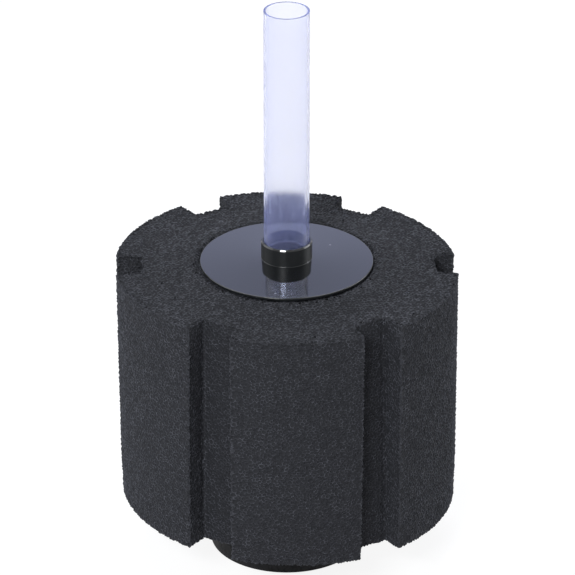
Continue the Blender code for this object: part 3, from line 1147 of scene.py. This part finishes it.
def make_camera():
    """The photograph's own view."""
    data = bpy.data.cameras.new("photo_view")
    data.lens = LENS_MM
    data.sensor_width = SENSOR_MM
    data.clip_start = CLIP_NEAR
    data.clip_end = CLIP_FAR
    camera = bpy.data.objects.new("photo_view", data)
    back = Vector((0.0, -math.cos(VIEW_ELEVATION), math.sin(VIEW_ELEVATION)))
    camera.location = Vector((VIEW_SIDE, 0.0, VIEW_CENTRE_HEIGHT)) + back * VIEW_DISTANCE
    aim = Vector((VIEW_SIDE, 0.0, AIM_HEIGHT))
    camera.rotation_euler = (aim - camera.location).to_track_quat("-Z", "Y").to_euler()
    bpy.context.scene.collection.objects.link(camera)
    bpy.context.scene.camera = camera


def seen_directly(tree):
    """1 for a ray that shows the backdrop to the eye: straight, mirrored or through glass."""
    path = node(tree, "ShaderNodeLightPath").outputs
    mirrored = maths(tree, "MAXIMUM", path["Is Glossy Ray"], path["Is Transmission Ray"])
    return maths(tree, "MAXIMUM", path["Is Camera Ray"], mirrored)


def make_world():
    """A white backdrop with a plain, soft light on the object."""
    world = bpy.data.worlds.new("white_studio")
    world.use_nodes = True
    tree = world.node_tree
    back = tree.nodes["Background"].inputs
    seen = seen_directly(tree)
    tree.links.new(mixed(tree, seen, AMBIENT_TINT, WHITE), back["Color"])
    tree.links.new(ranged(tree, seen, 0.0, 1.0, AMBIENT, BACKDROP_WHITE), back["Strength"])
    bpy.context.scene.world = world


def make_floor():
    """A pale floor that reads as white, takes the object's shadow and isn't seen from below."""
    shape = bmesh.new()
    bmesh.ops.create_grid(
        shape,
        x_segments=FLOOR_PATCHES,
        y_segments=FLOOR_PATCHES,
        size=FLOOR_REACH,
        matrix=Matrix.Translation((0.0, 0.0, -FLOOR_GAP)),
    )
    material = bpy.data.materials.new("pale_floor")
    material.use_nodes = True
    tree = material.node_tree
    tree.nodes.clear()
    shaded = node(tree, "ShaderNodeBsdfDiffuse", {"Color": FLOOR_SHADE}).outputs[0]
    bright = node(tree, "ShaderNodeEmission", {"Color": WHITE, "Strength": FLOOR_GLOW}).outputs[0]
    shown = node(tree, "ShaderNodeAddShader", {0: shaded, 1: bright}).outputs[0]
    plain = node(tree, "ShaderNodeBsdfDiffuse", {"Color": FLOOR_PLAIN}).outputs[0]
    both = node(tree, "ShaderNodeMixShader", {0: seen_directly(tree), 1: plain, 2: shown}).outputs[0]
    below = node(tree, "ShaderNodeNewGeometry").outputs["Backfacing"]
    clear = node(tree, "ShaderNodeBsdfTransparent").outputs[0]
    one_sided = node(tree, "ShaderNodeMixShader", {0: below, 1: both, 2: clear}).outputs[0]
    node(tree, "ShaderNodeOutputMaterial", {"Surface": one_sided})
    floor = new_piece("pale_floor", shape, material)


def make_lamp(name, place, size, watts, tint):
    """A soft lamp that faces the object."""
    data = bpy.data.lights.new(name, "AREA")
    data.shape = "RECTANGLE"
    data.size, data.size_y = size
    data.energy = watts
    data.color = tint
    lamp = bpy.data.objects.new(name, data)
    lamp.location = place
    lamp.rotation_euler = (LAMP_AIM - lamp.location).to_track_quat("-Z", "Y").to_euler()
    bpy.context.scene.collection.objects.link(lamp)


def main():
    """Sets the view, the floor and the light, then makes each finish and piece."""
    bpy.context.scene.view_settings.view_transform = "Standard"
    make_camera()
    make_world()
    make_floor()
    for lamp in LAMPS:
        make_lamp(*lamp)
    groups = make_moulded_grain(), make_settled_dust(), make_fine_scratches()
    gloss = make_plastic_finish("gloss_black_plastic", groups, GLOSS_PLASTIC)
    satin = make_plastic_finish("satin_black_plastic", groups, SATIN_PLASTIC)
    cells = make_foam_cells()
    pierced = make_pierced_wall()
    make_foam_block(cells, make_foam_finish())
    make_lift_tube(make_clear_finish())
    make_top_plate(gloss)
    make_strainer_core(pierced, satin)
    make_air_nozzle(pierced, satin)
    make_base_shell(satin)
    make_base_cover(satin)
    make_ballast_ring(make_cast_finish())


main()
